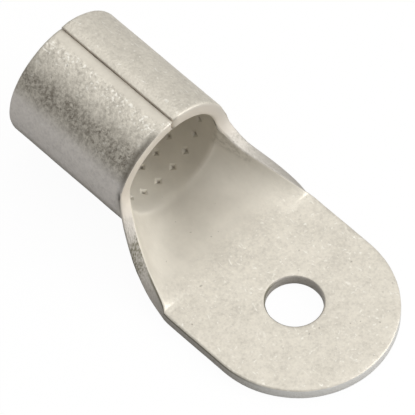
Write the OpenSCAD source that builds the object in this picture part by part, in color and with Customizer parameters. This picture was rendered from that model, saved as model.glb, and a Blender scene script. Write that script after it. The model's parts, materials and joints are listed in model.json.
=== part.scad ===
// Crimp lug, stamped and rolled from one sheet of tinned copper: a tubular barrel with a butt seam
// along its top, an open neck that uncurls, and a flat round-ended palm with a stud hole.
// The origin is the stud hole's centre on the underside. +X points to the palm's tip, +Z is up.
// All sizes are in millimetres.

/* [Sheet] */
// Thickness of the sheet
sheet_t = 1.65; // [1.2:0.05:2]
// Rounding of the sheared edges
edge_r = 0.3; // [0.1:0.05:0.5]

/* [Barrel] */
// Bore that takes the stripped conductor
bore_d = 13.2; // [12:0.1:14.5]
// Length of the barrel along its seam
barrel_len = 17.6; // [15:0.1:20]
// Width of the rounded sheet edge beside the seam
seam_w = 1.2; // [0.6:0.1:1.5]
// How far that edge drops into the seam
seam_drop = 0.25; // [0.1:0.05:0.4]
// How far the other sheet edge stands proud at the seam
seam_peak = 0.25; // [0.05:0.05:0.35]

/* [Serrations] */
// Rings of punched pits inside the barrel
pit_rings = 5; // [1:1:5]
// Pits in each ring
pits_per_ring = 18; // [8:1:20]
// Distance between rings
pit_pitch = 2.7; // [2:0.1:2.8]
// From the barrel's mouth to the first ring
pit_inset = 2.8; // [1.5:0.1:3]
// Width of a pit across its corners
pit_w = 1.2; // [0.6:0.1:1.6]
// Depth of a pit
pit_depth = 0.3; // [0.2:0.05:0.6]

/* [Neck] */
// Length of the neck, from the mouth of the barrel to the flat palm
neck_len = 10; // [8:0.5:14]
// Width of the flat blank where the neck leaves the barrel
neck_w = 21.5; // [18:0.1:24]
// Radius of the blank's inside corner between the barrel and the neck
corner_r = 3; // [1:0.1:3.4]

/* [Palm] */
// Width of the palm
palm_w = 22.6; // [20:0.2:26]
// How much wider than the neck the flattened palm is, on each side
palm_spread = 0.05; // [0.02:0.01:0.3]
// From the stud hole's centre to the start of the flat palm
hole_to_neck = 8.9; // [7:0.1:12]
// From the stud hole's centre to the palm's tip
hole_to_tip = 11.8; // [11.2:0.1:14]
// Stud hole, for an M6 stud
hole_d = 6.4; // [5:0.1:8.5]

/* [Hidden] */
TIN = [0.80, 0.78, 0.72];
$fn = 96;

// Turn of each ring's first pit from the bottom, as a share of the spacing
PIT_PHASE = 0.18;

// Barrel and palm along X
bore_r = bore_d / 2;
barrel_r = bore_r + sheet_t;
mid_r = bore_r + sheet_t / 2;
flat_x = -hole_to_neck;
mouth_x = flat_x - neck_len;
back_x = mouth_x - barrel_len;
tip_r = palm_w / 2;
tip_x = hole_to_tip - tip_r;

// Seam: how far round the barrel its sprung edge reaches
LIP_ANGLE = 60;
LIP_STEPS = 14;

// Neck: how its curl fades toward the palm, and how the bending moves out to the sheet's edges
CURL_POWER = 0.36;
CURL_START = 0.26;
CURL_END = 0.12;
FOCUS = 4.6;
FOCUS_POWER = 1.36;
BEND_STEPS = 40;
NECK_STATIONS = 14;
CORNER_STATIONS = 4;
SPAN_STEPS = 12;
EDGE_STEPS = 3;

// Joints between the neck and its neighbours: a short lap inside them, a little thinner
LAP = 0.6;
LAP_SKIN = 0.2;
SKIN = 0.02;

// The blank's half width at u, from 0 at the mouth to 1 at the flat palm
neck_half = neck_w / 2;
palm_half = palm_w / 2 - palm_spread;
function smooth(u) = u * u * (3 - 2 * u);
function corner(dx) = dx < corner_r ? corner_r - sqrt(corner_r ^ 2 - (corner_r - dx) ^ 2) : 0;
function half_width(u) = neck_half + (palm_half - neck_half) * smooth(u) + corner(u * neck_len);

// The bent section at u: how far its edge has turned, and the turn at the share t of the half width
function eased(t, run) = t ^ 2 * (1 + run) / (t + run);
function left_of_curl(u) = eased(max(1 - eased(u, CURL_START), 0), CURL_END);
function curl(u) = half_width(u) / mid_r * left_of_curl(u) ^ CURL_POWER * 180 / PI;
function turn(u, t) = curl(u) * t ^ (1 + FOCUS * u ^ FOCUS_POWER);

// The section's middle line at u, followed in small steps from its middle out: [y, z] at each step
function middle_line(u) =
    let (ds = half_width(u) / BEND_STEPS)
    [for (i = 0, y = 0, z = 0, a = turn(u, 0.5 / BEND_STEPS); i <= BEND_STEPS;
        y = y + ds * cos(a), z = z + ds * sin(a), i = i + 1, a = turn(u, (i + 0.5) / BEND_STEPS)) [y, z]];

// A point of the sheet: s along the section from its middle, h above the middle of the thickness
function bend(line, u, s, h) =
    let (t = min(abs(s) / half_width(u), 1), a = turn(u, t), k = t * BEND_STEPS,
        i = min(floor(k), BEND_STEPS - 1), p = line[i] + (line[i + 1] - line[i]) * (k - i))
    [sign(s) * (p[0] - h * sin(a)), sheet_t / 2 + p[1] + h * cos(a)];

// Distances from the middle to half width w, closer together over the rounded edge
function span(w) = concat(
    [for (i = [0 : SPAN_STEPS]) (w - edge_r) * i / SPAN_STEPS],
    [for (i = [1 : EDGE_STEPS]) w - edge_r + edge_r * sin(90 * i / EDGE_STEPS)]);
function both_sides(d) = concat([for (i = [len(d) - 1 : -1 : 1]) -d[i]], d);

// Half the thickness at s, less the rounding of the edge
function half_t(s, w) =
    let (e = max(abs(s) - (w - edge_r), 0)) sheet_t / 2 - edge_r + sqrt(max(edge_r ^ 2 - e ^ 2, 0));

// One ring of points round the section at u, its skin taken off all round
function ring(x, u, skin) =
    let (w = half_width(u) - skin, row = both_sides(span(w)), n = len(row), line = middle_line(u))
    concat(
        [for (s = row) let (p = bend(line, u, s, skin - half_t(s, w))) [x, p[0], p[1]]],
        [for (i = [n - 1 : -1 : 0]) let (s = row[i], p = bend(line, u, s, half_t(s, w) - skin)) [x, p[0], p[1]]]);

// Stations follow the corner's arc first, then come closer together toward the palm
corner_u = [for (i = [0 : CORNER_STATIONS]) corner_r * (1 - cos(90 * i / CORNER_STATIONS)) / neck_len];
last_u = corner_u[CORNER_STATIONS];
later_u = [for (i = [1 : NECK_STATIONS]) last_u + (1 - last_u) * sin(90 * i / NECK_STATIONS)];
neck_u = concat(corner_u, later_u);

// A closed skin over rings of n points, where each end cap joins a ring's lower and upper rows
function loft_faces(rings, n) = concat(
    [for (k = [0 : rings - 2], i = [0 : n - 1])
        let (a = k * n + i, b = k * n + (i + 1) % n, c = a + n, d = b + n) each [[a, d, b], [a, c, d]]],
    [for (i = [0 : n / 2 - 2]) [i, i + 1, n - 2 - i, n - 1 - i]],
    [for (i = [0 : n / 2 - 2]) let (e = (rings - 1) * n) [e + i, e + n - 1 - i, e + n - 2 - i, e + i + 1]]);

module along_x(length) {
    rotate([90, 0, 90]) linear_extrude(length) children();
}

// The tube's section: the near sheet edge is rounded down at the seam, the far one springs out a little
module barrel_section() {
    edge_z = sqrt(barrel_r ^ 2 - seam_w ^ 2);
    drop = edge_z - (barrel_r - seam_drop);
    round_r = (seam_w ^ 2 + drop ^ 2) / (2 * drop);
    difference() {
        union() {
            circle(barrel_r);
            polygon(concat([[0, mid_r]], [for (i = [0 : LIP_STEPS])
                let (r = barrel_r + seam_peak * (1 - smooth(i / LIP_STEPS)), a = LIP_ANGLE * i / LIP_STEPS)
                [r * sin(a), r * cos(a)]]));
        }
        circle(bore_r);
        difference() {
            translate([-1.5 * seam_w, mid_r]) square([1.5 * seam_w, sheet_t]);
            translate([-seam_w, edge_z - round_r]) circle(round_r);
        }
    }
}

module barrel() {
    difference() {
        translate([back_x, 0, barrel_r]) along_x(barrel_len) barrel_section();
        serrations();
    }
}

// Square pits with sloping sides, their corners in line with the barrel
module serrations() {
    slope = pit_w / 2 / pit_depth;
    for (i = [0 : pit_rings - 1], k = [0 : pits_per_ring - 1])
        translate([mouth_x - pit_inset - i * pit_pitch, 0, barrel_r])
            rotate([(k + PIT_PHASE) * 360 / pits_per_ring, 0, 0]) translate([0, 0, -bore_r - pit_depth])
                cylinder(h = 2 * pit_depth, r1 = 0, r2 = 2 * pit_depth * slope, $fn = 4);
}

module neck() {
    rings = concat(
        [ring(mouth_x - LAP, 0, LAP_SKIN)],
        [for (u = neck_u) ring(mouth_x + u * neck_len, u, SKIN)],
        [ring(flat_x + LAP, 1, LAP_SKIN)]);
    polyhedron([for (r = rings) each r], loft_faces(len(rings), len(rings[0])), convexity = 4);
}

// Half of the palm's section, with both of its sheared edges rounded
module half_palm_section() {
    square([tip_r - edge_r, sheet_t]);
    translate([0, edge_r]) square([tip_r, sheet_t - 2 * edge_r]);
    for (z = [edge_r, sheet_t - edge_r]) translate([tip_r - edge_r, z]) circle(edge_r);
}

module palm() {
    for (side = [0, 1]) mirror([0, side, 0])
        translate([flat_x, 0, 0]) along_x(tip_x - flat_x) half_palm_section();
    translate([tip_x, 0, 0]) rotate([0, 0, -90]) rotate_extrude(angle = 180) half_palm_section();
}

module lug() {
    color(TIN) difference() {
        union() {
            barrel();
            neck();
            palm();
        }
        translate([0, 0, -1]) cylinder(h = sheet_t + 2, d = hole_d);
    }
}

lug();
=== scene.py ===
"""Looks of a crimp lug that is stamped and rolled from one sheet of tinned copper.

The lug is modelled as it is made. A flat blank is laid out, thickened, rounded at its sheared edges and
punched with its serrations. Then every point is bent to its place, from the flat palm to the closed barrel.
"""

import json
import logging
import math
from dataclasses import dataclass, field
from enum import Enum
from typing import Any, Sequence, Union

import bmesh
import bpy
from mathutils import Matrix, Vector, noise


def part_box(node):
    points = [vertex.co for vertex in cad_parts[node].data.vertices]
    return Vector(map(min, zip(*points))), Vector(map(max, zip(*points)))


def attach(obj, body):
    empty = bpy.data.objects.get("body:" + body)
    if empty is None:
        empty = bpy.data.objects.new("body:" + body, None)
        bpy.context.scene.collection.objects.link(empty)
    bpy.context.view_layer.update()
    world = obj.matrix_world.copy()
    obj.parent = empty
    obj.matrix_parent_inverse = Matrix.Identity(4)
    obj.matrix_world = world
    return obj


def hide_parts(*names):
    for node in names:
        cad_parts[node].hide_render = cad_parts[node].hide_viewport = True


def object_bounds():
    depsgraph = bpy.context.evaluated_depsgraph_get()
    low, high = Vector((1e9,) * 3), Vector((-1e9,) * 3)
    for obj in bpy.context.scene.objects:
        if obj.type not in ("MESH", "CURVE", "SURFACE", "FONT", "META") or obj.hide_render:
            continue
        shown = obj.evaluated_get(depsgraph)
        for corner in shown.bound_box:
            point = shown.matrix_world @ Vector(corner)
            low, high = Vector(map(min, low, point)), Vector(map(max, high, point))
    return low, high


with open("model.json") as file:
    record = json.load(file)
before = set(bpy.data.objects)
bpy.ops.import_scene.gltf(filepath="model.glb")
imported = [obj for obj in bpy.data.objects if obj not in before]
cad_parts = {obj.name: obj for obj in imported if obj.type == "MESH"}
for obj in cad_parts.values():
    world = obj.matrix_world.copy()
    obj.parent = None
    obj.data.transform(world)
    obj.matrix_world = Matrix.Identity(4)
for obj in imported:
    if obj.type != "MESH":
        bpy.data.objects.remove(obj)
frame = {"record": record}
CAD_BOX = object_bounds()

Colour = tuple[float, float, float]

MM = 0.001
NODE = "lug"
BODY = "root"
BLANK_PLACE = "blank_place"
log = logging.getLogger(NODE)


class Surface(Enum):
    """The finishes of the lug, in the order of its material slots."""

    PLATED = 0
    SHEARED = 1


def smooth(t: float) -> float:
    """Ease from 0 to 1 with level ends."""
    t = min(max(t, 0.0), 1.0)
    return t * t * (3.0 - 2.0 * t)


def eased(t: float, run: float) -> float:
    """Rise from 0 to 1, level at first and straight once t is well past run."""
    return t * t * (1.0 + run) / (t + run)


def blend(a: float, b: float, t: float) -> float:
    """Go from a to b as t goes from 0 to 1."""
    return a + (b - a) * t


# ---------------------------------------------------------------- sizes


@dataclass(frozen=True)
class LugSizes:
    """Sizes of the lug in millimetres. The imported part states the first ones."""

    thickness: float
    bore_r: float
    hole_r: float
    back_x: float
    mouth_x: float
    tip_x: float
    palm_half: float
    neck_len: float = 10.0
    neck_half: float = 10.75
    corner_r: float = 3.0
    palm_spread: float = 0.135
    curl_power: float = 0.36
    curl_start: float = 0.26
    curl_end: float = 0.12
    focus: float = 4.6
    focus_power: float = 1.36
    edge_r: float = 0.3

    @classmethod
    def from_record(cls, record: dict[str, Any]) -> "LugSizes":
        """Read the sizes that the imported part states.

        Args:
            record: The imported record, with its mounts.

        Returns:
            The lug's sizes.
        """
        mounts = {m["name"]: m for m in record["mounts"]}
        hole, bore = mounts["stud_hole"]["dims"], mounts["cable_bore"]["dims"]
        low, high = (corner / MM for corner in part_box(NODE))
        return cls(
            thickness=hole["length_mm"],
            bore_r=bore["r_mm"],
            hole_r=hole["r_mm"],
            back_x=low.x,
            mouth_x=low.x + bore["length_mm"],
            tip_x=high.x,
            palm_half=high.y,
        )

    @property
    def flat_x(self) -> float:
        """Where the neck ends and the palm begins."""
        return self.mouth_x + self.neck_len

    @property
    def mid_r(self) -> float:
        """Radius of the barrel at the middle of the sheet."""
        return self.bore_r + self.thickness / 2

    @property
    def corner_half(self) -> float:
        """Half width at which the neck leaves the mouth's edge."""
        return self.neck_half + self.corner_r

    @property
    def tip_centre(self) -> float:
        """Where the palm's round end has its centre."""
        return self.tip_x - self.palm_half


@dataclass(frozen=True)
class Seam:
    """Shape of the barrel's seam, in millimetres. One edge rolls down into it and the other springs out."""

    gap: float = 0.03
    edge_r: float = 0.06
    drop: float = 0.2
    drop_run: float = 1.25
    drop_power: float = 1.6
    peak: float = 0.25
    peak_run: float = 7.8
    roll: float = 0.16
    roll_run: float = 0.9


@dataclass(frozen=True)
class Serrations:
    """Pyramid pits in rings round the bore, in millimetres."""

    rings: int = 5
    per_ring: int = 18
    pitch: float = 2.7
    inset: float = 2.8
    half_width: float = 0.6
    depth: float = 0.3
    phase: float = 0.18


# ---------------------------------------------------------------- how the sheet is bent


@dataclass(frozen=True)
class Bending:
    """Places points of the flat blank on the bent lug.

    A blank point is (x, s, h): along the lug, across from the sheet's middle line, and above its mid-plane.
    """

    sizes: LugSizes
    seam: Seam
    steps: int = 24

    def station(self, x: float) -> float:
        """Part of the neck that lies behind x, from 0 at the mouth to 1 at the palm."""
        return min(max((x - self.sizes.mouth_x) / self.sizes.neck_len, 0.0), 1.0)

    def half_width(self, x: float) -> float:
        """Half width of the neck's blank at x, with the round corners at the mouth."""
        z = self.sizes
        into = max(x - z.mouth_x, 0.0)
        corner = 0.0
        if into < z.corner_r:
            corner = z.corner_r - math.sqrt(z.corner_r**2 - (z.corner_r - into) ** 2)
        return blend(z.neck_half, z.palm_half, smooth(into / z.neck_len)) + corner

    def place(self, p: Vector) -> Vector:
        """Bend one point of the blank.

        Args:
            p: The blank point, in millimetres.

        Returns:
            Its place on the lug, in millimetres.
        """
        z, u = self.sizes, self.station(p.x)
        middle = z.thickness / 2
        if u >= 1.0:
            return Vector((p.x, p.y, middle + p.z))
        half, s = self.half_width(p.x) if u > 0 else math.pi * z.mid_r, abs(p.y)
        y, height, steps = 0.0, middle, self.steps
        for i in range(steps):
            turn = self.turn(u, half, s * (i + 0.5) / steps)
            y += math.cos(turn) * s / steps
            height += math.sin(turn) * s / steps
        turn = self.turn(u, half, s)
        y -= p.z * math.sin(turn)
        return Vector((p.x, math.copysign(y, p.y), height + p.z * math.cos(turn)))

    def turn(self, u: float, half: float, s: float) -> float:
        """Angle through which the section has turned at the distance s from its middle.

        Args:
            u: The station in the neck.
            half: The half width there.
            s: The distance from the section's middle, in millimetres.

        Returns:
            The angle, in radians.
        """
        z = self.sizes
        rest = max(1.0 - eased(u, z.curl_start), 0.0)
        edge = half / z.mid_r * eased(rest, z.curl_end) ** z.curl_power
        return edge * (s / half) ** (1.0 + z.focus * u**z.focus_power)

    def seam_lift(self, p: Vector) -> float:
        """How far the seam's shape moves a barrel point outward.

        Args:
            p: The blank point, in millimetres.

        Returns:
            The move away from the barrel's axis, in millimetres.
        """
        z, seam = self.sizes, self.seam
        outer = min(max(-2.0 * p.z / z.thickness, 0.0), 1.0)
        from_edge = math.pi * z.mid_r - abs(p.y)
        if p.y < 0:
            return -seam.drop * outer * max(0.0, 1.0 - from_edge / seam.drop_run) ** seam.drop_power
        rolled = seam.roll * max(0.0, 1.0 - from_edge / seam.roll_run) ** 2
        return (seam.peak * smooth(1.0 - from_edge / seam.peak_run) - rolled) * outer


# ---------------------------------------------------------------- the flat blank


@dataclass
class Blank:
    """The flat blank: a grid for the barrel and the neck, joined to rings round the stud hole."""

    sizes: LugSizes
    seam: Seam
    pits: Serrations
    bending: Bending
    neck_cells: int = 16
    side_cells: int = 14
    tip_cells: int = 56
    palm_rings: int = 12
    mesh: bmesh.types.BMesh = field(default_factory=bmesh.new)

    @property
    def edge_s(self) -> float:
        """Where the barrel's two edges lie across the sheet."""
        return math.pi * self.sizes.mid_r - self.seam.gap / 2

    def columns(self) -> list[float]:
        """Lines along the barrel, four for each pit spacing, from edge to edge."""
        spacing = 2 * math.pi * self.sizes.mid_r / self.pits.per_ring
        step = spacing / 4
        count = 2 * self.pits.per_ring
        inner = [(i + 4 * self.pits.phase) * step for i in range(-count, count + 1)]
        keep = [s for s in inner if abs(s) < self.edge_s - 0.45 * step]
        return [-self.edge_s, *keep, self.edge_s]

    def barrel_stations(self) -> list[float]:
        """Lines across the barrel, with one through each ring of pits and one on each side of it."""
        z, pits = self.sizes, self.pits
        found = [z.back_x, z.mouth_x]
        for ring in range(pits.rings):
            centre = z.mouth_x - pits.inset - ring * pits.pitch
            offsets = [-pits.half_width, 0.0, pits.half_width, pits.pitch / 2]
            found += [centre + d for d in offsets]
        found += [blend(z.mouth_x - pits.inset + pits.pitch / 2, z.mouth_x, t) for t in (0.34, 0.67)]
        last = z.mouth_x - pits.inset - (pits.rings - 1) * pits.pitch - pits.half_width
        spare = max(1, round((last - z.back_x) / pits.half_width))
        found += [blend(z.back_x, last, i / spare) for i in range(1, spare)]
        return sorted(found)

    def neck_stations(self) -> list[float]:
        """Lines across the neck, closer at the mouth's corners and at the palm."""
        z, n = self.sizes, self.neck_cells
        return [z.mouth_x + z.neck_len * 0.5 * (1.0 - math.cos(math.pi * i / n)) for i in range(1, n + 1)]

    def lay_out(self) -> None:
        """Make the blank's middle surface, in blank coordinates."""
        columns, barrel, neck = self.columns(), self.barrel_stations(), self.neck_stations()
        left = min(range(len(columns)), key=lambda j: abs(columns[j] + self.sizes.corner_half))
        right = min(range(len(columns)), key=lambda j: abs(columns[j] - self.sizes.corner_half))
        bm, stations = self.mesh, barrel + neck
        bmesh.ops.create_grid(bm, x_segments=len(stations) - 1, y_segments=len(columns) - 1, size=0.5)
        place = {}
        for v in bm.verts:
            i = round((v.co.x + 0.5) * (len(stations) - 1))
            j = round((v.co.y + 0.5) * (len(columns) - 1))
            place[v] = (i, j)
        beyond = [
            f for f in bm.faces
            if min(place[v][0] for v in f.verts) >= len(barrel) - 1
            and not (left <= min(place[v][1] for v in f.verts) < right)
        ]
        bmesh.ops.delete(bm, geom=beyond, context="FACES")
        for v in bm.verts:
            i, j = place[v]
            v.co = (stations[i], self.across(stations[i], columns, j, left, right), 0.0)
        self.add_palm([self.across(neck[-1], columns, j, left, right) for j in range(left, right + 1)])

    def across(self, x: float, columns: Sequence[float], j: int, left: int, right: int) -> float:
        """Where a grid column crosses a station.

        Args:
            x: The station.
            columns: The barrel's columns.
            j: The column's number.
            left: The column on which the neck has its left edge.
            right: The column on which the neck has its right edge.

        Returns:
            The distance across the sheet from its middle, in millimetres.
        """
        z, s = self.sizes, columns[j]
        if left <= j <= right:
            t = (s - columns[left]) / (columns[right] - columns[left])
            aligned = blend(-z.corner_half, z.corner_half, t)
        elif j < left:
            aligned = blend(-self.edge_s, -z.corner_half, (s + self.edge_s) / (columns[left] + self.edge_s))
        else:
            aligned = blend(z.corner_half, self.edge_s, (s - columns[right]) / (self.edge_s - columns[right]))
        if x > z.mouth_x:
            return aligned * self.bending.half_width(x) / z.corner_half
        near = smooth(1.0 - (z.mouth_x - x) / (self.pits.inset - self.pits.half_width))
        return blend(s, aligned, near)

    def add_palm(self, neck_line: Sequence[float]) -> None:
        """Join the palm to the neck's last line, as rings that grow from the stud hole to the outline.

        Args:
            neck_line: Where the neck's columns end, across the sheet.
        """
        z = self.sizes
        outline = [Vector((z.flat_x, s, 0.0)) for s in neck_line]
        ahead = [blend(z.flat_x, z.tip_centre, i / self.side_cells) for i in range(1, self.side_cells + 1)]
        outline += [Vector((x, z.palm_half, 0.0)) for x in ahead]
        for i in range(1, self.tip_cells):
            turn = math.pi / 2 - math.pi * i / self.tip_cells
            x = z.tip_centre + z.palm_half * math.cos(turn)
            outline.append(Vector((x, z.palm_half * math.sin(turn), 0.0)))
        outline += [Vector((x, -z.palm_half, 0.0)) for x in reversed(ahead)]
        bm = self.mesh
        ring = bmesh.ops.create_circle(bm, segments=len(outline), radius=z.hole_r)["verts"]
        rim = [p.normalized() * z.hole_r for p in outline]
        for v, p in zip(ring, rim):
            v.co = p
        edges = [e for e in bm.edges if e.is_wire]
        for step in range(1, self.palm_rings + 1):
            grown = bmesh.ops.extrude_edge_only(bm, edges=edges)["geom"]
            edges = [g for g in grown if isinstance(g, bmesh.types.BMEdge)]
            verts = [g for g in grown if isinstance(g, bmesh.types.BMVert)]
            t = step / self.palm_rings
            was = [a.lerp(b, (step - 1) / self.palm_rings) for a, b in zip(rim, outline)]
            for v in verts:
                k = min(range(len(was)), key=lambda n: (was[n] - v.co).length_squared)
                v.co = rim[k].lerp(outline[k], t)
        bmesh.ops.remove_doubles(bm, verts=bm.verts[:], dist=1e-4)

    def thicken(self) -> None:
        """Give the sheet its thickness, round its sheared edges and note which faces are sheared."""
        bm, z = self.mesh, self.sizes
        bmesh.ops.recalc_face_normals(bm, faces=bm.faces[:])
        made = bmesh.ops.extrude_face_region(bm, geom=bm.faces[:], use_keep_orig=True)
        top = [g for g in made["geom"] if isinstance(g, bmesh.types.BMVert)]
        bmesh.ops.translate(bm, verts=bm.verts[:], vec=(0.0, 0.0, -z.thickness / 2))
        bmesh.ops.translate(bm, verts=top, vec=(0.0, 0.0, z.thickness))
        bmesh.ops.recalc_face_normals(bm, faces=bm.faces[:])
        for f in bm.faces:
            upright = abs(f.normal.z) < 0.5
            f.material_index = (Surface.SHEARED if upright else Surface.PLATED).value
        rims = [e for e in bm.edges if len({f.material_index for f in e.link_faces}) > 1]
        bmesh.ops.bevel(
            bm, geom=rims, offset=z.edge_r, segments=3, profile=0.5, affect="EDGES", material=-1,
            clamp_overlap=False,
        )

    def sharpen(self) -> None:
        """Keep the roundings small where the barrel's two edges meet at the seam."""
        z, seam = self.sizes, self.seam
        share, end = seam.edge_r / z.edge_r, self.edge_s
        for v in self.mesh.verts:
            if v.co.x > z.mouth_x + 1e-3:
                continue
            into = end - abs(v.co.y)
            if into < z.edge_r + 1e-4:
                v.co.y = math.copysign(end - into * share, v.co.y)
                if z.back_x + z.edge_r < v.co.x < z.mouth_x - z.edge_r:
                    rounded = z.thickness / 2 - abs(v.co.z)
                    if rounded < z.edge_r + 1e-4:
                        v.co.z = math.copysign(z.thickness / 2 - rounded * share, v.co.z)

    def pit_offsets(self, p: Vector) -> tuple[float, float]:
        """How far a blank point lies from the nearest pit's centre.

        Args:
            p: The blank point, in millimetres.

        Returns:
            The distances along and across, as shares of the pit's reach.
        """
        z, pits = self.sizes, self.pits
        along = (z.mouth_x - pits.inset - p.x) / pits.pitch
        along -= min(max(round(along), 0), pits.rings - 1)
        across = p.y * pits.per_ring / (2 * math.pi * z.mid_r) - pits.phase
        across -= round(across)
        return along * pits.pitch / pits.half_width, across * 4

    def punch(self) -> None:
        """Press the pits into the inner side, with their four ridges along mesh edges."""
        bm, z, pits = self.mesh, self.sizes, self.pits
        inner = [v for v in bm.verts if v.co.z > z.thickness / 2 - 1e-4 and v.co.x < z.mouth_x]
        corners = []
        for v in inner:
            dx, ds = self.pit_offsets(v.co)
            if abs(abs(dx) + abs(ds) - 1.0) < 0.03 and min(abs(dx), abs(ds)) < 0.02:
                corners.append(v)
        bmesh.ops.connect_verts(bm, verts=corners)
        reach = {}
        for v in inner:
            dx, ds = self.pit_offsets(v.co)
            reach[v] = abs(dx) + abs(ds)
            v.co.z -= pits.depth * max(0.0, 1.0 - reach[v])
        for e in bm.edges:
            if all(v in reach and reach[v] < 1.05 for v in e.verts):
                e.smooth = False

    def build(self) -> bmesh.types.BMesh:
        """Make the whole flat blank.

        Returns:
            The blank's mesh, in blank coordinates and millimetres.
        """
        self.lay_out()
        self.thicken()
        self.sharpen()
        self.punch()
        return self.mesh


# ---------------------------------------------------------------- the lug


@dataclass(frozen=True)
class Wear:
    """Small unevenness of the rolled sheet, in millimetres, always into the metal."""

    wave: float = 0.05
    wave_size: float = 4.0
    dent: float = 0.03
    dent_size: float = 1.1

    def depth(self, p: Vector) -> float:
        """How deep the surface lies below its plain shape.

        Args:
            p: A place on the lug, in millimetres.

        Returns:
            The depth, in millimetres.
        """
        broad = 0.5 + 0.5 * noise.noise(p / self.wave_size)
        fine = max(0.0, noise.noise(p / self.dent_size + Vector((7.0, 3.0, 5.0))))
        return self.wave * broad + self.dent * fine


@dataclass
class LugPiece:
    """The visible lug, made from its blank."""

    blank: Blank
    bending: Bending
    wear: Wear
    fold_reaches: tuple[float, ...] = (2.0, 1.5, 1.5, 1.0)
    fold_passes: int = 4
    fold_margin: float = 1.0

    def build(self) -> bpy.types.Object:
        """Bend the blank and make the object.

        Returns:
            The lug, at the frame's origin.
        """
        bm = self.blank.build()
        layer = bm.verts.layers.float_vector.new(BLANK_PLACE)
        for v in bm.verts:
            v[layer] = v.co.copy()
            v.co = self.bent(v.co)
        self.ease(bm, layer)
        bm.normal_update()
        for v in bm.verts:
            v.co -= v.normal * self.wear.depth(v.co)
        bmesh.ops.scale(bm, vec=(MM, MM, MM), verts=bm.verts[:])
        for f in bm.faces:
            f.smooth = True
        bmesh.ops.recalc_face_normals(bm, faces=bm.faces[:])
        data = bpy.data.meshes.new(NODE + "_looks")
        bm.to_mesh(data)
        bm.free()
        piece = bpy.data.objects.new(NODE + "_looks", data)
        bpy.context.scene.collection.objects.link(piece)
        log.info("lug: %d faces", len(data.polygons))
        return piece

    def ease(self, bm: bmesh.types.BMesh, layer: Any) -> None:
        """Ease the fold that the inner face has where the neck begins.

        Args:
            bm: The bent sheet.
            layer: Where each vertex keeps its place on the blank.
        """
        z = self.blank.sizes
        half = z.neck_half - self.fold_margin
        inner = [v for v in bm.verts if v[layer].z > z.thickness * 0.4 and abs(v[layer].y) < half]
        for reach in self.fold_reaches:
            near = [v for v in inner if abs(v[layer].x - z.mouth_x) < reach]
            for _ in range(self.fold_passes):
                bmesh.ops.smooth_vert(bm, verts=near, factor=0.5, use_axis_y=True, use_axis_z=True)

    def bent(self, p: Vector) -> Vector:
        """Place one blank point, with the palm's small spread and the seam's shape.

        Args:
            p: The blank point, in millimetres.

        Returns:
            Its place on the lug, in millimetres.
        """
        z = self.blank.sizes
        on_palm = smooth((p.x - z.flat_x) / 0.5 + 0.5)
        spread = 1.0 - z.palm_spread / z.palm_half * (1.0 - on_palm)
        narrowed = Vector((p.x, p.y * spread if p.x > z.mouth_x else p.y, p.z))
        placed = self.bending.place(narrowed)
        if p.x <= z.mouth_x:
            axis = Vector((p.x, 0.0, z.bore_r + z.thickness))
            placed += (placed - axis).normalized() * self.bending.seam_lift(p)
        return placed


# ---------------------------------------------------------------- shader expressions

Number = Union["Signal", float]


class Signal:
    """A number or a vector in a shader, which Python's operators combine."""

    def __init__(self, graph: "Graph", socket: bpy.types.NodeSocket) -> None:
        self.graph = graph
        self.socket = socket

    def math(self, operation: str, *values: Number) -> "Signal":
        """Combine this number with others in one Math node.

        Args:
            operation: The Math node's operation.
            values: The node's inputs.

        Returns:
            The result.
        """
        return self.graph.node("ShaderNodeMath", {"operation": operation}, dict(enumerate(values)))

    def __add__(self, other: Number) -> "Signal":
        return self.math("ADD", self, other)

    def __sub__(self, other: Number) -> "Signal":
        return self.math("SUBTRACT", self, other)

    def __rsub__(self, other: Number) -> "Signal":
        return self.math("SUBTRACT", other, self)

    def __mul__(self, other: Number) -> "Signal":
        return self.math("MULTIPLY", self, other)

    def __abs__(self) -> "Signal":
        return self.math("ABSOLUTE", self)

    __radd__ = __add__
    __rmul__ = __mul__

    def above(self, low: float, high: float) -> "Signal":
        """Rise smoothly from 0 at low to 1 at high. It falls if low is the larger."""
        return self.graph.node(
            "ShaderNodeMapRange", {"interpolation_type": "SMOOTHSTEP"},
            {"Value": self, "From Min": low, "From Max": high},
        )

    def within(self, start: float, full: float, ending: float, end: float) -> "Signal":
        """Rise from 0 at start to 1 at full, and fall from 1 at ending to 0 at end."""
        return self.above(start, full) * self.above(end, ending)


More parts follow.
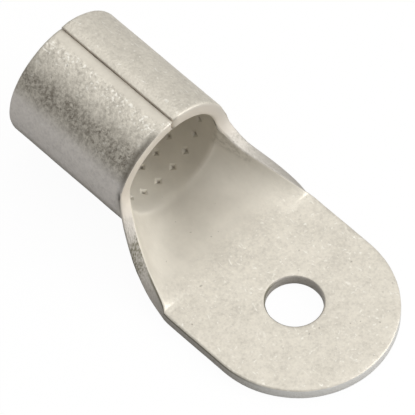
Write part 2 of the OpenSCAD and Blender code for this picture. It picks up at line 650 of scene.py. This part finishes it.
class Graph:
    """Builds one node tree from expressions."""

    def __init__(self, tree: bpy.types.NodeTree) -> None:
        self.tree = tree
        tree.nodes.clear()

    def node(
        self, kind: str, settings: dict[str, Any] | None = None, inputs: dict[Any, Any] | None = None,
        output: str | int = 0,
    ) -> Signal:
        """Add any node.

        Args:
            kind: The node's type.
            settings: Properties to set on it.
            inputs: Values or signals for its inputs, by name or number.
            output: The output to return.

        Returns:
            The chosen output.
        """
        made = self.tree.nodes.new(kind)
        for name, value in (settings or {}).items():
            setattr(made, name, value)
        for name, value in (inputs or {}).items():
            if isinstance(value, Signal):
                self.tree.links.new(value.socket, made.inputs[name])
            elif value is not None:
                made.inputs[name].default_value = value
        if not made.outputs:
            return Signal(self, None)
        return Signal(self, made.outputs[output])

    def blank_place(self) -> tuple[Signal, Signal, Signal, Signal]:
        """Where a point was on the flat blank: the vector and its three parts, in millimetres."""
        place = self.node("ShaderNodeAttribute", {"attribute_name": BLANK_PLACE}, output="Vector")
        return place, *self.parts(place)

    def parts(self, vector: Signal) -> list[Signal]:
        """Split a vector into its three parts."""
        split = self.tree.nodes.new("ShaderNodeSeparateXYZ")
        self.tree.links.new(vector.socket, split.inputs[0])
        return [Signal(self, s) for s in split.outputs]

    def noise(
        self, at: Signal, scale: float, detail: float = 2.0, rough: float = 0.5, seed: float = 0.0
    ) -> Signal:
        """Cloudy noise from about 0 to 1.

        Args:
            at: Where to look it up.
            scale: How many features there are in one unit.
            detail: Octaves.
            rough: How strong the finer octaves are.
            seed: A slice of the noise.

        Returns:
            The noise's value.
        """
        return self.node(
            "ShaderNodeTexNoise", {"noise_dimensions": "4D"},
            {"Vector": at, "W": seed, "Scale": scale, "Detail": detail, "Roughness": rough},
        )

    def stretched(self, at: Signal, turn: float, stretch: float, shift: float = 0.0) -> Signal:
        """Turn a place about the sheet's normal and squeeze it along one axis.

        Args:
            at: The place.
            turn: The angle, in degrees.
            stretch: How many times longer features get along the turned axis.
            shift: A move, so that two uses differ.

        Returns:
            The mapped place.
        """
        return self.node(
            "ShaderNodeMapping", {"vector_type": "POINT"},
            {
                "Vector": at,
                "Location": (shift, shift * 0.7, 0.0),
                "Rotation": (0.0, 0.0, math.radians(turn)),
                "Scale": (1.0 / stretch, 1.0, 1.0),
            },
        )

    def warped(self, at: Signal, scale: float, reach: float) -> Signal:
        """Shift a place by smooth noise, so that straight features wander.

        Args:
            at: The place.
            scale: How fast the shift varies.
            reach: How far it goes.

        Returns:
            The shifted place.
        """
        shift = self.node(
            "ShaderNodeTexNoise", {"noise_dimensions": "3D"},
            {"Vector": at, "Scale": scale, "Detail": 1.0}, "Color",
        )
        return self.node(
            "ShaderNodeVectorMath", {"operation": "MULTIPLY_ADD"}, {0: shift, 1: (reach,) * 3, 2: at}
        )

    def tint(self, base: Colour | Signal, over: Colour | Signal, share: Signal) -> Signal:
        """Mix two colours.

        Args:
            base: The colour at a share of 0.
            over: The colour at a share of 1.
            share: How much of the second colour there is.

        Returns:
            The mixed colour.
        """
        made = self.tree.nodes.new("ShaderNodeMix")
        made.data_type = "RGBA"
        for number, value in ((0, share), (6, base), (7, over)):
            if isinstance(value, Signal):
                self.tree.links.new(value.socket, made.inputs[number])
            else:
                made.inputs[number].default_value = (*value, 1.0)
        return Signal(self, made.outputs[2])

    def bump(self, height: Signal) -> Signal:
        """Turn a height in millimetres into a normal."""
        return self.node("ShaderNodeBump", inputs={"Height": height, "Distance": MM, "Strength": 1.0})

    def metal(self, colour: Signal, metallic: Number, roughness: Number, height: Signal) -> None:
        """Finish the tree as a metal surface.

        Args:
            colour: The base colour.
            metallic: How metallic it is.
            roughness: Its roughness.
            height: Its fine relief, in millimetres.
        """
        shader = self.node(
            "ShaderNodeBsdfPrincipled", {"distribution": "MULTI_GGX"},
            {
                "Base Color": colour, "Metallic": metallic, "Roughness": roughness,
                "Normal": self.bump(height),
            },
        )
        self.node("ShaderNodeOutputMaterial", {}, {"Surface": shader})


# ---------------------------------------------------------------- finishes


@dataclass(frozen=True)
class TinZones:
    """Shares of the zones of the plated faces."""

    satin: Signal
    frosted: Signal
    rolled: Signal
    outer: Signal
    picked: Signal

    @classmethod
    def on(cls, g: Graph, sizes: LugSizes) -> "TinZones":
        """Lay the zones out.

        Args:
            g: The node tree.
            sizes: The lug's sizes.

        Returns:
            The zones.
        """
        at, x, s, h = g.blank_place()
        ragged = (g.noise(at, 0.5, 2.0, 0.6, seed=21.0) - 0.5) * 5.0
        satin = h.above(0.0, 0.4) * (x + ragged).above(sizes.flat_x + 0.5, sizes.flat_x - 4.0) * 0.9
        outer = h.above(0.3, -0.3)
        rolled = x.above(sizes.mouth_x + 1.0, sizes.mouth_x - 1.0) * outer
        from_seam = (s + math.pi * sizes.mid_r) * rolled + (1.0 - rolled) * 9.0
        frosted = (1.0 - satin) * (0.15 + from_seam.above(1.0, 1.5) * 0.85)
        return cls(satin, frosted, rolled, outer, from_seam.within(1.1, 1.6, 2.0, 3.4))


@dataclass(frozen=True)
class TinTexture:
    """Textures of the plated faces, from broad to fine."""

    cloud: Signal
    mottle: Signal
    grain: Signal
    pores: Signal
    scratch: Signal

    @classmethod
    def on(cls, g: Graph, frosted: Signal) -> "TinTexture":
        """Make the textures.

        Args:
            g: The node tree.
            frosted: Share of frosting, which carries the scratches.

        Returns:
            The textures.
        """
        at = g.blank_place()[0]
        return cls(
            cloud=g.noise(at, 0.3, 3.0, 0.6),
            mottle=g.noise(at, 1.3, 3.0, 0.65, seed=2.0),
            grain=g.noise(at, 3.2, 2.0, 0.6, seed=4.0),
            pores=g.noise(at, 2.4, 0.0, 0.5, seed=9.0).above(0.82, 0.88),
            scratch=cls.scratches(g, at) * frosted,
        )

    @staticmethod
    def scratches(g: Graph, at: Signal) -> Signal:
        """Short curved scratches in loose groups.

        Args:
            g: The node tree.
            at: The place on the blank.

        Returns:
            Share of scratch.
        """
        bent = g.warped(at, 0.35, 2.2)
        total: Number = 0.0
        for turn, seed in ((20.0, 1.0), (75.0, 5.0), (-40.0, 8.0), (-5.0, 13.0)):
            lines = g.noise(g.stretched(bent, turn, 7.0, seed * 3.0), 3.4, 0.0, 0.5, seed)
            group = g.noise(at, 0.45, 1.0, 0.5, seed=seed + 0.5).above(0.52, 0.66)
            total = lines.above(0.70, 0.80) * group + total
        return total


@dataclass(frozen=True)
class PlatedTin:
    """Matt electroplated tin: frosted where the dies have pressed it, satin inside the neck and barrel."""

    light: Colour = (0.83, 0.785, 0.69)
    dark: Colour = (0.53, 0.495, 0.43)
    # Dark colour for painted shade and painted reflection, and for the mottled patina in the flank's band and
    # the darker worn edge.
    shade_and_patina: Colour = (0.20, 0.175, 0.14)
    lilac: Colour = (0.88, 0.84, 0.83)
    # Bright colour of the real flecks and scratches, also used for the painted light on one wall inside the
    # barrel.
    fleck_and_painted_light: Colour = (0.96, 0.93, 0.85)
    # Dark colour of the real pores, also used for the painted dark reflection along the mouth's outer rim.
    pore_and_rim_shade: Colour = (0.10, 0.09, 0.07)
    roughness: float = 0.5
    metallic: float = 0.55
    flank_s: float = 17.2

    def material(self, sizes: LugSizes) -> bpy.types.Material:
        """Make the finish.

        Args:
            sizes: The lug's sizes, which place its zones.

        Returns:
            The material.
        """
        made = bpy.data.materials.new("tinned")
        made.use_nodes = True
        g = Graph(made.node_tree)
        zones = TinZones.on(g, sizes)
        texture = TinTexture.on(g, zones.frosted)
        cloud, mottle, grain = texture.cloud - 0.5, texture.mottle - 0.5, texture.grain - 0.5
        colour = g.tint(self.dark, self.light, self.tone(g, sizes, zones, texture))
        colour = self.flecked(g, colour, zones, texture)
        colour = self.marked_outside(g, colour, sizes, zones, texture)
        colour = self.shaded_inside(g, colour, sizes, zones, texture)
        rough = self.roughness + mottle * 0.2 * zones.frosted - texture.scratch * 0.15 + zones.satin * 0.1
        pressed = (grain * 0.045 + mottle * 0.05) * zones.frosted * (0.55 + zones.rolled * 0.75)
        height = pressed + cloud * 0.03 - texture.pores * 0.03
        g.metal(colour, self.metallic - zones.satin * 0.25, rough, height)
        return made

    def tone(self, g: Graph, sizes: LugSizes, zones: TinZones, texture: TinTexture) -> Signal:
        """How light the plating is, calmer on the side of the seam that springs out.

        Args:
            g: The node tree.
            sizes: The lug's sizes.
            zones: The zones.
            texture: The textures.

        Returns:
            The tone, from 0 for dark to 1 for light.
        """
        _, x, s, _ = g.blank_place()
        tone = 0.5 + (texture.cloud - 0.5) * 0.45
        tone = tone + (texture.mottle - 0.5) * zones.frosted * (0.55 + zones.rolled * 0.5)
        tone = tone + (texture.grain - 0.5) * zones.frosted * (0.6 + zones.rolled * 0.6)
        calm = zones.rolled * s.above(0.0, 1.0)
        palm = x.above(sizes.flat_x - 3.0, sizes.flat_x + 3.0)
        tone = tone * (1.0 - calm * 0.6) + calm * 0.3 + palm * 0.05
        return tone.above(0.05, 0.8)

    def flecked(self, g: Graph, colour: Signal, zones: TinZones, texture: TinTexture) -> Signal:
        """Add bright flecks, thicker beside the seam, and scratches.

        Args:
            g: The node tree.
            colour: The colour so far.
            zones: The zones.
            texture: The textures.

        Returns:
            The colour.
        """
        flecks = g.noise(g.blank_place()[0], 2.6, 2.0, 0.55, seed=12.0) + zones.picked * 0.06
        flecks = flecks.above(0.58, 0.72) * zones.frosted * (0.65 + zones.picked * 0.3)
        return g.tint(colour, self.fleck_and_painted_light, (flecks + texture.scratch * 0.6).above(0.0, 1.0))

    def marked_outside(
        self, g: Graph, colour: Signal, sizes: LugSizes, zones: TinZones, texture: TinTexture
    ) -> Signal:
        """Add pores, a painted dark reflection along the outer edge of the mouth's rim, the lilac haze, and
        on the barrel's flank a dark band of painted reflection with mottled patina in it, with painted shade
        lower down.

        Args:
            g: The node tree.
            colour: The colour so far.
            sizes: The lug's sizes.
            zones: The zones.
            texture: The textures.

        Returns:
            The colour.
        """
        at, x, s, h = g.blank_place()
        behind = x - sizes.mouth_x
        # Painted shade: a dark reflection along the rolled outer edge of the mouth's rim, tinted with the
        # pore colour.
        rim = behind.above(-1.0, -0.25) * h.above(0.5, 0.2) * s.within(-22.5, -20.0, -13.5, -11.0)
        colour = g.tint(colour, self.pore_and_rim_shade, texture.pores * 0.3 + rim * 0.7)
        haze = zones.rolled * s.within(-16.5, -14.0, -9.5, -7.0)
        colour = g.tint(colour, self.lilac, haze * (0.35 + texture.mottle * 0.4))
        drift = (g.noise(at, 0.25, 2.0, 0.6, seed=31.0) - 0.5) * 3.0
        # Painted reflection: a dark band along the barrel's upper flank where the dim side of the room is
        # reflected, with mottled patina in it from the speckle.
        band = abs(s + self.flank_s + drift).above(2.8, 0.4)
        speckle = g.noise(at, 3.0, 3.0, 0.75, seed=33.0).above(0.38, 0.66)
        # Painted shade lower on the flank, which faces partly down.
        under = s.within(-11.0, -9.2, -8.0, -6.0)
        flank_shade_and_patina = (band * (0.2 + speckle * 0.7) + under * 0.5) * behind.above(0.0, -0.3) * zones.outer
        return g.tint(colour, self.shade_and_patina, flank_shade_and_patina)

    def shaded_inside(
        self, g: Graph, colour: Signal, sizes: LugSizes, zones: TinZones, texture: TinTexture
    ) -> Signal:
        """Paint light and shade onto the inner side: painted shade deeper into the neck, a painted lit wall
        and a painted shaded wall in the barrel, and darker worn edge and pit cores.

        Args:
            g: The node tree.
            colour: The colour so far.
            sizes: The lug's sizes.
            zones: The zones.
            texture: The textures.

        Returns:
            The colour.
        """
        _, x, s, h = g.blank_place()
        behind = x - sizes.mouth_x
        in_neck = behind.above(-0.8, 0.8)
        in_barrel = zones.satin * (1.0 - in_neck)
        # Painted shade in the neck, darkest at the mouth and on the +Y side.
        deep = in_neck * behind.above(sizes.neck_len - 2.0, 0.0) * s.above(-7.0, 4.0)
        colour = g.tint(colour, self.shade_and_patina, zones.satin * deep * 0.42)
        # Painted light on the barrel's -Y inner wall, which the right-hand light reaches through the mouth.
        colour = g.tint(colour, self.fleck_and_painted_light, in_barrel * s.above(3.0, -6.0) * 0.6)
        # Painted shade on the barrel's +Y inner wall.
        colour = g.tint(colour, self.shade_and_patina, in_barrel * s.above(-3.0, 9.0) * 0.45)
        edge = behind.within(-1.6, 0.4, 2.9, 5.4) * (s - behind * 0.1).above(8.51, 9.71) * h.above(0.3, 0.7)
        worn = edge * (texture.grain + texture.mottle).above(0.6, 1.3)
        core = behind.above(-0.8, -1.2) * h.within(0.2, 0.3, 0.58, 0.74)
        return g.tint(colour, self.shade_and_patina, (worn * 0.5 + core * 0.6).above(0.0, 1.0))


@dataclass(frozen=True)
class ShearedEdge:
    """The cut edge of the sheet: coined smooth round the mouth, torn and with dark stains along the neck, and
    with a painted shadow line under the top edge on one side of the neck.
    """

    coined: Colour = (0.74, 0.69, 0.62)
    light: Colour = (0.53, 0.50, 0.455)
    clean: Colour = (0.84, 0.83, 0.80)
    # Dark colour of the real stains on the cut face, also used for the painted shadow line under its top
    # edge.
    stain_and_shadow: Colour = (0.16, 0.15, 0.10)
    roughness: float = 0.5
    metallic: float = 0.55

    def material(self, sizes: LugSizes) -> bpy.types.Material:
        """Make the finish.

        Args:
            sizes: The lug's sizes.

        Returns:
            The material.
        """
        made = bpy.data.materials.new("sheared")
        made.use_nodes = True
        g = Graph(made.node_tree)
        at, x, s, h = g.blank_place()
        streak = g.noise(at, 1.6, 3.0, 0.65, seed=3.0)
        grain = g.noise(at, 4.5, 2.0, 0.6, seed=6.0)
        behind = x - sizes.mouth_x
        tip = x.above(-1.0, 8.0)
        coined = behind.above(1.6, 0.4)
        torn = behind.within(2.0, 3.2, 4.5, 7.0) * s.above(0.5, -0.5)
        colour = g.tint(self.light, self.coined, coined)
        colour = g.tint(colour, self.clean, tip)
        stain = (0.35 + torn * 0.3 + (grain - 0.5) * (1.6 - coined) + (streak - 0.5) * 0.8).above(0.35, 0.95)
        stain = stain * (0.45 + torn * 0.5) * (1.0 - coined * 0.85) * (1.0 - tip * 0.75)
        colour = g.tint(colour, self.stain_and_shadow, stain)
        # Painted shadow: a dark line along the top of the cut face on one side of the neck, where the
        # rolled-over top edge shades it.
        line = h.above(0.3, 0.55) * behind.above(5.0, 7.0) * s.above(1.0, -1.0)
        line = line * (x + grain * 4.0).above(9.0, 2.0)
        colour = g.tint(colour, self.stain_and_shadow, line * 0.8)
        height = ((grain - 0.5) * 0.07 + (streak - 0.5) * 0.05) * (1.0 - coined * 0.8)
        g.metal(colour, self.metallic, self.roughness, height)
        return made


# ---------------------------------------------------------------- the studio


@dataclass(frozen=True)
class Camera:
    """Where the lug is seen from. Lengths are in millimetres."""

    azimuth: float = 45.03
    elevation: float = 56.076
    roll: float = -0.56
    target: tuple[float, float, float] = (-12.0, 0.0, 4.0)
    distance: float = 663.0
    lens: float = 525.3
    shift: tuple[float, float] = (-0.0240, 0.0386)

    def build(self) -> None:
        """Make the camera and use it."""
        a, e = math.radians(self.azimuth), math.radians(self.elevation)
        back = Vector((math.sin(a) * math.cos(e), -math.cos(a) * math.cos(e), math.sin(e)))
        right = Vector((math.cos(a), math.sin(a), 0.0))
        up = back.cross(right)
        r = math.radians(self.roll)
        across = right * math.cos(r) - up * math.sin(r)
        along = right * math.sin(r) + up * math.cos(r)
        data = bpy.data.cameras.new("camera")
        data.sensor_width, data.lens = 36.0, self.lens
        data.shift_x, data.shift_y = self.shift
        data.clip_start, data.clip_end = 0.05, 10.0
        camera = bpy.data.objects.new("camera", data)
        turned = Matrix((across, along, back)).transposed().to_4x4()
        camera.matrix_world = Matrix.Translation((Vector(self.target) + back * self.distance) * MM) @ turned
        bpy.context.scene.collection.objects.link(camera)
        bpy.context.scene.camera = camera


@dataclass(frozen=True)
class SoftLight:
    """One large soft light that points at the lug. Lengths are in metres."""

    name: str
    place: tuple[float, float, float]
    size: float
    power: float
    colour: Colour = (1.0, 1.0, 1.0)

    def build(self, aim: Vector) -> None:
        """Make the light.

        Args:
            aim: The point that it faces.
        """
        data = bpy.data.lights.new(self.name, "AREA")
        data.shape, data.size = "SQUARE", self.size
        data.energy, data.color = self.power, self.colour
        light = bpy.data.objects.new(self.name, data)
        light.location = self.place
        light.rotation_mode = "QUATERNION"
        light.rotation_quaternion = (aim - Vector(self.place)).to_track_quat("-Z", "Y")
        bpy.context.scene.collection.objects.link(light)


@dataclass(frozen=True)
class Studio:
    """A white table under a soft ceiling, in a room that is bright ahead of the palm and dim on one flank."""

    lights: tuple[SoftLight, ...] = (
        SoftLight("ceiling", (-0.10, 0.12, 0.60), 0.60, 0.9),
        SoftLight("right", (0.52, 0.36, 0.24), 0.40, 2.0),
    )
    zenith: float = 0.66
    bright_side: float = 0.80
    dim_side: float = 0.18
    tint: Colour = (1.0, 0.99, 0.97)
    floor_colour: Colour = (0.50, 0.50, 0.50)
    floor_size: float = 1.2
    floor_depth: float = 0.02 * MM
    paper_glow: float = 0.9
    glow: float = 1.06

    def build(self, aim: Vector) -> None:
        """Make the lights, the sky and the floor.

        Args:
            aim: The point that the lights face.
        """
        for light in self.lights:
            light.build(aim)
        world = bpy.data.worlds.new("studio")
        world.use_nodes = True
        bpy.context.scene.world = world
        g = Graph(world.node_tree)
        toward = g.node("ShaderNodeTexCoord", output="Generated")
        x, y, z = g.parts(toward)
        side = self.dim_side + (self.bright_side - self.dim_side) * (y * 0.6 + x * 0.8).above(-0.6, 0.9)
        level = side + (self.zenith - side) * z.above(0.0, 0.9)
        sky = g.node("ShaderNodeBackground", {}, {"Color": (*self.tint, 1.0), "Strength": level})
        g.node("ShaderNodeOutputWorld", {}, {"Surface": sky})
        self.build_floor()

    def build_floor(self) -> None:
        """Make the floor, which the camera sees as white paper with the lug's shadow."""
        bm = bmesh.new()
        bmesh.ops.create_grid(bm, x_segments=1, y_segments=1, size=self.floor_size / 2)
        bmesh.ops.translate(bm, verts=bm.verts[:], vec=(0.0, 0.0, -self.floor_depth))
        data = bpy.data.meshes.new("floor")
        bm.to_mesh(data)
        bm.free()
        floor = bpy.data.objects.new("floor", data)
        bpy.context.scene.collection.objects.link(floor)
        paper = bpy.data.materials.new("paper")
        paper.use_nodes = True
        g = Graph(paper.node_tree)
        plain = g.node("ShaderNodeBsdfDiffuse", {}, {"Color": (*self.floor_colour, 1.0)})
        glow = g.node("ShaderNodeEmission", {}, {"Color": (1.0, 1.0, 1.0, 1.0), "Strength": self.glow})
        seen = g.node("ShaderNodeLightPath", output="Is Camera Ray")
        lit = g.node("ShaderNodeMixShader", {}, {0: seen * self.paper_glow, 1: plain, 2: glow})
        g.node("ShaderNodeOutputMaterial", {}, {"Surface": lit})
        data.materials.append(paper)


def main() -> None:
    """Build the lug, its finishes and the studio."""
    logging.basicConfig(level=logging.INFO)
    sizes, seam, pits = LugSizes.from_record(frame["record"]), Seam(), Serrations()
    bending = Bending(sizes, seam)
    lug = LugPiece(Blank(sizes, seam, pits, bending), bending, Wear()).build()
    for finish in (PlatedTin(), ShearedEdge()):
        lug.data.materials.append(finish.material(sizes))
    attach(lug, BODY)
    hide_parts(NODE)
    low, high = CAD_BOX
    Studio().build((low + high) / 2)
    Camera().build()
    bpy.context.scene.view_settings.view_transform = "Standard"


if __name__ == "__main__":
    main()
